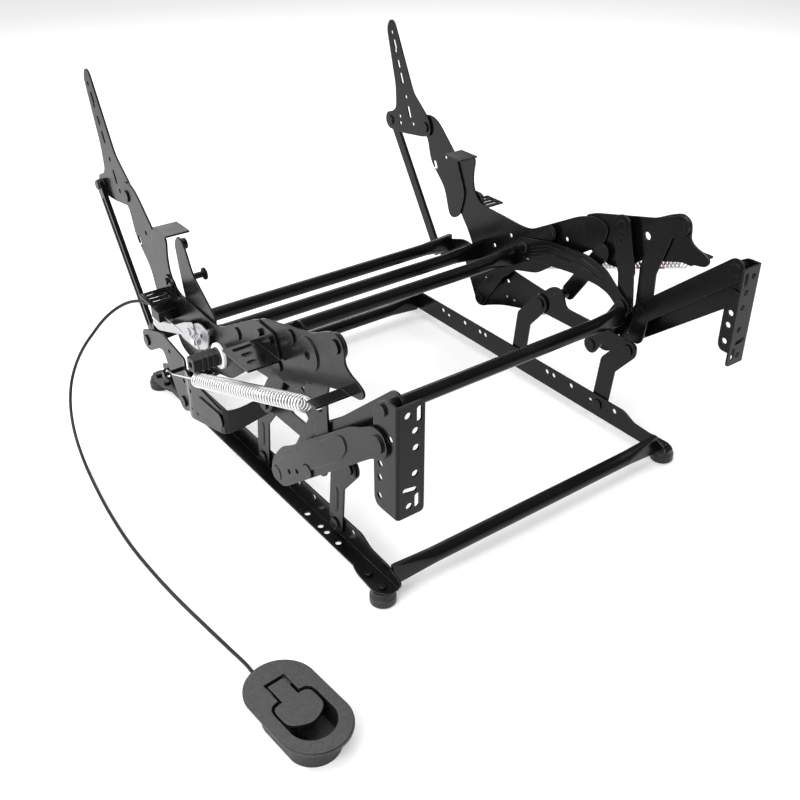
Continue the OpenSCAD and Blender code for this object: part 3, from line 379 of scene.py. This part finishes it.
# smooth line through listed points
def smoothLine(points, perSpan):
    line = []
    last = len(points) - 1
    for i in range(last):
        a, b, c, d = (Vector(points[max(0, min(last, k))]) for k in (i - 1, i, i + 1, i + 2))
        for k in range(perSpan):
            s = k / perSpan
            slope = (c - a) * s
            bend = (2 * a - 5 * b + 4 * c - d) * s**2
            turn = (3 * b - a - 3 * c + d) * s**3
            line.append(0.5 * (2 * b + slope + bend + turn))
    line.append(Vector(points[-1]))
    return line


# a round wire or bead carried along a line without twist
def wireMesh(name, line, radius, sides):
    points = []
    faces = []
    radii = radius if isinstance(radius, list) else [radius] * len(line)
    count = len(line)
    side = None
    for i, at in enumerate(line):
        along = (line[min(i + 1, count - 1)] - line[max(i - 1, 0)]).normalized()
        if side is None:
            side = along.orthogonal()
        side = (side - side.dot(along) * along).normalized()
        other = along.cross(side)
        for k in range(sides):
            a = 2 * math.pi * k / sides
            points.append(at + radii[i] * (math.cos(a) * side + math.sin(a) * other))
    for i in range(count - 1):
        for k in range(sides):
            a = i * sides + k
            b = i * sides + (k + 1) % sides
            faces.append((a, b, b + sides, a + sides))
    faces.append(tuple(reversed(range(sides))))
    faces.append(tuple((count - 1) * sides + k for k in range(sides)))
    mesh = bpy.data.meshes.new(name)
    mesh.from_pydata(points, [], faces)
    mesh.polygons.foreach_set("use_smooth", [True] * len(faces))
    mesh.update()
    return mesh


# pull cable from the clamp down to the floor and forward to the handle, route in millimetres
cable = {
    "route": [
        (-314, 196, 206), (-319, 214, 206), (-331, 232, 201), (-346, 250, 188), (-363, 266, 168),
        (-380, 280, 142), (-396, 291, 116), (-411, 298, 86), (-424, 298, 54), (-437, 279, 25),
        (-449, 240, 3), (-459, 186, -12), (-468, 123, -17), (-477, 45, -17), (-482, -35, -17),
        (-481, -110, -17), (-477, -175, -17), (-471, -240, -16), (-468, -295, -10), (-469, -335, 1),
        (-471, -357, 7), (-472, -366, 8),
    ],
    "perMetre": 1000,
    "perSpan": 8,
    "sides": 16,
    "diameter": 0.005,
    "length": 0.932,
    "sinkFrom": (0, 0, -0.0195),
    "sinkKeep": 0.9744,
}


def makeCable():
    line = smoothLine([Vector(p) / cable["perMetre"] for p in cable["route"]], cable["perSpan"])
    tube = wireMesh("pullCable", line, cable["diameter"] / 2, cable["sides"])
    obj = addObject("pullCable", tube, "base")
    dress(obj, cableJacket)
    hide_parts("cable_sheath")
    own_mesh(obj)
    print("cable laid")


makeCable()


# extension springs, from the rear stud to the hook tab, lengths in metres
spring = {
    "x": 0.327,
    "rear": (0.13125, 0.12246),
    "front": (-0.29776, 0.28366),
    "wire": 0.0026,
    "outside": 0.022,
    "turns": 43,
    "body": 0.318,
    "frontGap": 0.032,
    "hookRadius": 0.0048,
    "hookSteps": 14,
    "hookSweep": 240,
    "hookStarts": (-30, 90),  # rear and front, degrees
    "rearLead": ((0.008, 0.0012), (0.014, 0.0004)),
    "rearNeck": 0.016,
    "frontNeck": 0.013,
    "neckShare": 0.15,
    "riseReach": 0.006,
    "riseShare": 0.55,
    "frontSide": 0.0004,
    "perTurn": 20,
    "sides": 10,
    "slideAxis": (0, 0.9563, 0.2924),
    "slideKeep": 0.8229,
}


# points along, across and up from the rear stud, turned into place at the end
def springLine(side):
    rear = Vector((side * spring["x"], *spring["rear"]))
    front = Vector((side * spring["x"], *spring["front"]))
    along = (front - rear).normalized()
    across = Vector((side, 0, 0))
    up = Vector((0, along.z, -along.y))
    length = (front - rear).length
    radius = (spring["outside"] - spring["wire"]) / 2
    hook = spring["hookRadius"]
    coilEnd = length - spring["frontGap"]
    coilStart = coilEnd - spring["body"]
    rings = spring["turns"] * spring["perTurn"]
    rearStart, frontStart = spring["hookStarts"]
    sweep = [spring["hookSweep"] * i / spring["hookSteps"] for i in range(spring["hookSteps"] + 1)]
    riseReach = spring["riseReach"]
    rise = radius * spring["riseShare"]
    local = []
    for turned in sweep:
        a = math.radians(rearStart - turned)
        local.append((hook * math.cos(a), 0, hook * math.sin(a)))
    local += [(hook + reach, 0, lift) for reach, lift in spring["rearLead"]]
    local += [(coilStart - spring["rearNeck"], 0, 0), (coilStart - riseReach, 0, rise)]
    for i in range(rings + 1):
        a = 2 * math.pi * i / spring["perTurn"]
        local.append((coilStart + spring["body"] * i / rings, -radius * math.sin(a), radius * math.cos(a)))
    local.append((coilEnd + riseReach, 0, rise))
    local.append((coilEnd + spring["frontNeck"], spring["frontSide"] / 2, radius * spring["neckShare"]))
    local.append((length - hook - riseReach, spring["frontSide"], 0))
    for turned in sweep:
        a = math.radians(frontStart - turned)
        local.append((length + hook * math.cos(a), hook * math.sin(a), 0))
    return [rear + p[0] * along + p[1] * across + p[2] * up for p in local], rear


def makeSpring(side, name, node, material):
    line, rear = springLine(side)
    coil = wireMesh(name, line, spring["wire"] / 2, spring["sides"])
    obj = addObject(name, coil, "carriers")
    dress(obj, material)
    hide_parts(node)
    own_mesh(obj)


makeSpring(-1, "rightSpringCoil", "right_spring", zincSteel)
makeSpring(1, "leftSpringCoil", "left_spring", markedSpring)
print("springs wound")


# pressed beads on the outer faces of the glide links, lengths in metres
linkBead = {
    "face": 0.254,
    "low": (-0.0130, 0.0425),
    "high": (-0.0170, 0.0855),
    "frontStep": -0.193,
    "width": 0.0095,
    "rise": 0.0013,
    "squareness": 6,
    "tip": 0.0004,
    "steps": 24,
    "sides": 20,
}


def makeLinkBeads(name, body, step):
    half = linkBead["width"] / 2
    count = linkBead["steps"]
    low = Vector((0, linkBead["low"][0] + step, linkBead["low"][1]))
    high = Vector((0, linkBead["high"][0] + step, linkBead["high"][1]))
    line = [low.lerp(high, i / count) for i in range(count + 1)]
    fall = [abs(2 * i / count - 1) ** linkBead["squareness"] for i in range(count + 1)]
    bulge = [half * math.sqrt(max(linkBead["tip"], 1 - drop)) for drop in fall]
    for side, label in ((-1, "right"), (1, "left")):
        bead = wireMesh(label + name, line, bulge, linkBead["sides"])
        for vertex in bead.vertices:
            vertex.co.x = side * linkBead["face"] + vertex.co.x * linkBead["rise"] / half
        obj = addObject(label + name, bead, body)
        dress(obj, powderCoat)


makeLinkBeads("RearLinkBead", "rear_links", 0)
makeLinkBeads("FrontLinkBead", "front_links", linkBead["frontStep"])
print("link beads pressed")


# return spring and its stud on the latch plate, lengths in metres
latchSpring = {
    "centre": (-0.302, 0.062, 0.203),
    "outside": 0.017,
    "wire": 0.0016,
    "sides": 8,
    "standOff": 0.4,  # share of the wire
    "turns": 4,
    "perTurn": 24,
    "pitch": 0.0019,
    "legs": ((0.020, 0.002), (0.016, -0.014)),
    "stud": 0.0035,
    "studFoot": 0.001,
    "studSides": 24,
    "head": 0.0055,
    "headRings": ((0.0001, 1), (0.0016, 1), (0.0024, 0.7), (0.0026, 0.2)),
}


def makeLatchSpring():
    x, y, z = latchSpring["centre"]
    radius = (latchSpring["outside"] - latchSpring["wire"]) / 2
    steps = latchSpring["turns"] * latchSpring["perTurn"]
    start = x - latchSpring["wire"] * latchSpring["standOff"]
    firstLeg, lastLeg = latchSpring["legs"]
    line = [Vector((start, y + firstLeg[0], z + radius + firstLeg[1]))]
    for i in range(steps + 1):
        a = 2 * math.pi * i / latchSpring["perTurn"]
        out = latchSpring["pitch"] * i / latchSpring["perTurn"]
        line.append(Vector((start - out, y - radius * math.sin(a), z + radius * math.cos(a))))
    line.append(line[-1] + Vector((0, -lastLeg[0], lastLeg[1])))
    coil = wireMesh("latchSpring", line, latchSpring["wire"] / 2, latchSpring["sides"])
    dress(addObject("latchSpring", coil, "seat_frame"), stampedZinc)
    reach = latchSpring["turns"] * latchSpring["pitch"] + latchSpring["wire"]
    stud, head = latchSpring["stud"], latchSpring["head"]
    profile = [(-latchSpring["studFoot"], stud), (reach, stud)]
    profile += [(reach + rise, head * share) for rise, share in latchSpring["headRings"]]
    axis = [Vector((x - along, y, z)) for along, _ in profile]
    pin = wireMesh("latchStud", axis, [wide for _, wide in profile], latchSpring["studSides"])
    pin.polygons.foreach_set("use_smooth", [False] * len(pin.polygons))
    dress(addObject("latchStud", pin, "seat_frame"), zincSteel)


makeLatchSpring()
print("latch spring wound")


# finishes and softened edges on the CAD nodes
finishOf = {
    "feet": blackRubber,
    "drive_shaft": blackRubber,
    "handle_bezel": blackPlastic,
    "handle_paddle": blackPlastic,
    "latch_plate": stampedZinc,
    "latch_lever": stampedZinc,
    "cable_wire": zincSteel,
    "shaft_bush": whiteNylon,
    "cable_ferrule": whiteNylon,
}
edges = {
    "width": 0.0007,
    "segments": 3,
    "angle": 38,
    "weld": 0.00002,
    "flat": 1.0,
    "rivetWidth": 0.0012,
    "rivets": ("base_rivets", "carrier_rivets", "seat_rivets"),
    "mouldedWidth": 0.0014,
    "moulded": ("handle_bezel", "handle_paddle", "feet"),
}


def softenEdges(obj, width):
    weld = obj.modifiers.new("joinFaces", "WELD")
    weld.merge_threshold = edges["weld"]
    flat = obj.modifiers.new("flatFaces", "DECIMATE")
    flat.decimate_type = "DISSOLVE"
    flat.angle_limit = math.radians(edges["flat"])
    bevel = obj.modifiers.new("softEdge", "BEVEL")
    bevel.width = width
    bevel.segments = edges["segments"]
    bevel.limit_method = "ANGLE"
    bevel.angle_limit = math.radians(edges["angle"])
    bevel.use_clamp_overlap = True
    bevel.miter_outer = "MITER_ARC"
    even = obj.modifiers.new("evenShade", "WEIGHTED_NORMAL")
    even.keep_sharp = False


for name, obj in nodes.items():
    if obj.hide_render:
        continue
    dress(obj, finishOf.get(name, powderCoat))
    if name in edges["rivets"]:
        softenEdges(obj, edges["rivetWidth"])
    elif name in edges["moulded"]:
        softenEdges(obj, edges["mouldedWidth"])
    else:
        softenEdges(obj, edges["width"])
print("CAD nodes dressed")


# pale floor, soft studio light; a lift is light that only seen rays get
studio = {
    "floorSize": 60.0,
    "floorDrop": 0.0002,
    "floorColour": (0.92, 0.92, 0.92),
    "floorRoughness": 0.55,
    "floorSpecular": 0.2,
    "white": (1, 1, 1, 1),
    "nearLift": 0.2,
    "farLift": 0.46,
    "liftReach": (0.6, 1.9),
    "worldLight": 0.25,
    "lamps": [
        # name, place, aim, width, height, power
        ("softTop", (-0.3, 0.1, 2.6), (0, 0, 0.1), 2.6, 2.2, 46),
        ("softLeft", (-2.4, -0.9, 1.5), (0, 0, 0.15), 2.2, 1.8, 70),
        ("softBack", (0.9, 2.4, 1.6), (0, 0, 0.2), 2.0, 1.0, 16),
        ("softRight", (2.5, -0.3, 1.5), (0, 0, 0.2), 1.8, 1.4, 26),
        ("floorGlow", (-1.3, 0.8, 1.1), (-0.9, 0.7, 0), 0.9, 0.9, 14),
    ],
}


# rays that show the surroundings: straight, mirrored or through glass
def seenRays(tree):
    ray = placeNode(tree, "ShaderNodeLightPath")
    straight = placeNode(tree, "ShaderNodeMath", operation="MAXIMUM")
    through = placeNode(tree, "ShaderNodeMath", operation="MAXIMUM")
    tree.links.new(ray.outputs["Is Camera Ray"], straight.inputs[0])
    tree.links.new(ray.outputs["Is Glossy Ray"], straight.inputs[1])
    tree.links.new(straight.outputs[0], through.inputs[0])
    tree.links.new(ray.outputs["Is Transmission Ray"], through.inputs[1])
    return through.outputs[0]


def makeFloor():
    half = studio["floorSize"] / 2
    z = cadLow.z - studio["floorDrop"]
    corners = [(-half, -half, z), (half, -half, z), (half, half, z), (-half, half, z)]
    mesh = bpy.data.meshes.new("studioFloor")
    mesh.from_pydata(corners, [], [(0, 1, 2, 3)])
    floor = bpy.data.objects.new("studioFloor", mesh)
    scene.collection.objects.link(floor)
    material = bpy.data.materials.new("paleFloor")
    material.use_nodes = True
    tree = material.node_tree
    shader = tree.nodes["Principled BSDF"]
    shader.inputs["Base Color"].default_value = (*studio["floorColour"], 1)
    shader.inputs["Roughness"].default_value = studio["floorRoughness"]
    shader.inputs["Specular IOR Level"].default_value = studio["floorSpecular"]
    shader.inputs["Emission Color"].default_value = studio["white"]
    place = placeNode(tree, "ShaderNodeTexCoord")
    away = placeNode(tree, "ShaderNodeVectorMath", operation="LENGTH")
    rise = placeNode(tree, "ShaderNodeMapRange", interpolation_type="SMOOTHSTEP")
    setSpan(rise, "From", studio["liftReach"])
    setSpan(rise, "To", (studio["nearLift"], studio["farLift"]))
    lift = placeNode(tree, "ShaderNodeMath", operation="MULTIPLY")
    tree.links.new(place.outputs["Object"], away.inputs[0])
    tree.links.new(away.outputs["Value"], rise.inputs["Value"])
    tree.links.new(seenRays(tree), lift.inputs[0])
    tree.links.new(rise.outputs["Result"], lift.inputs[1])
    tree.links.new(lift.outputs[0], shader.inputs["Emission Strength"])
    mesh.materials.append(material)


def makeWorld():
    world = bpy.data.worlds.new("paleStudio")
    scene.world = world
    world.use_nodes = True
    tree = world.node_tree
    tree.nodes.clear()
    out = placeNode(tree, "ShaderNodeOutputWorld")
    light = placeNode(tree, "ShaderNodeBackground")
    light.inputs["Strength"].default_value = studio["worldLight"]
    light.inputs["Color"].default_value = studio["white"]
    joinNodes(tree, light, "Background", out, "Surface")


def makeLamps():
    for name, place, aim, width, height, power in studio["lamps"]:
        lamp = bpy.data.lights.new(name, "AREA")
        lamp.shape = "RECTANGLE"
        lamp.size = width
        lamp.size_y = height
        lamp.energy = power
        obj = bpy.data.objects.new(name, lamp)
        obj.location = place
        obj.rotation_euler = (Vector(aim) - Vector(place)).to_track_quat("-Z", "Y").to_euler()
        scene.collection.objects.link(obj)


makeFloor()
makeWorld()
makeLamps()
print("studio lit")

bpy.context.view_layer.update()
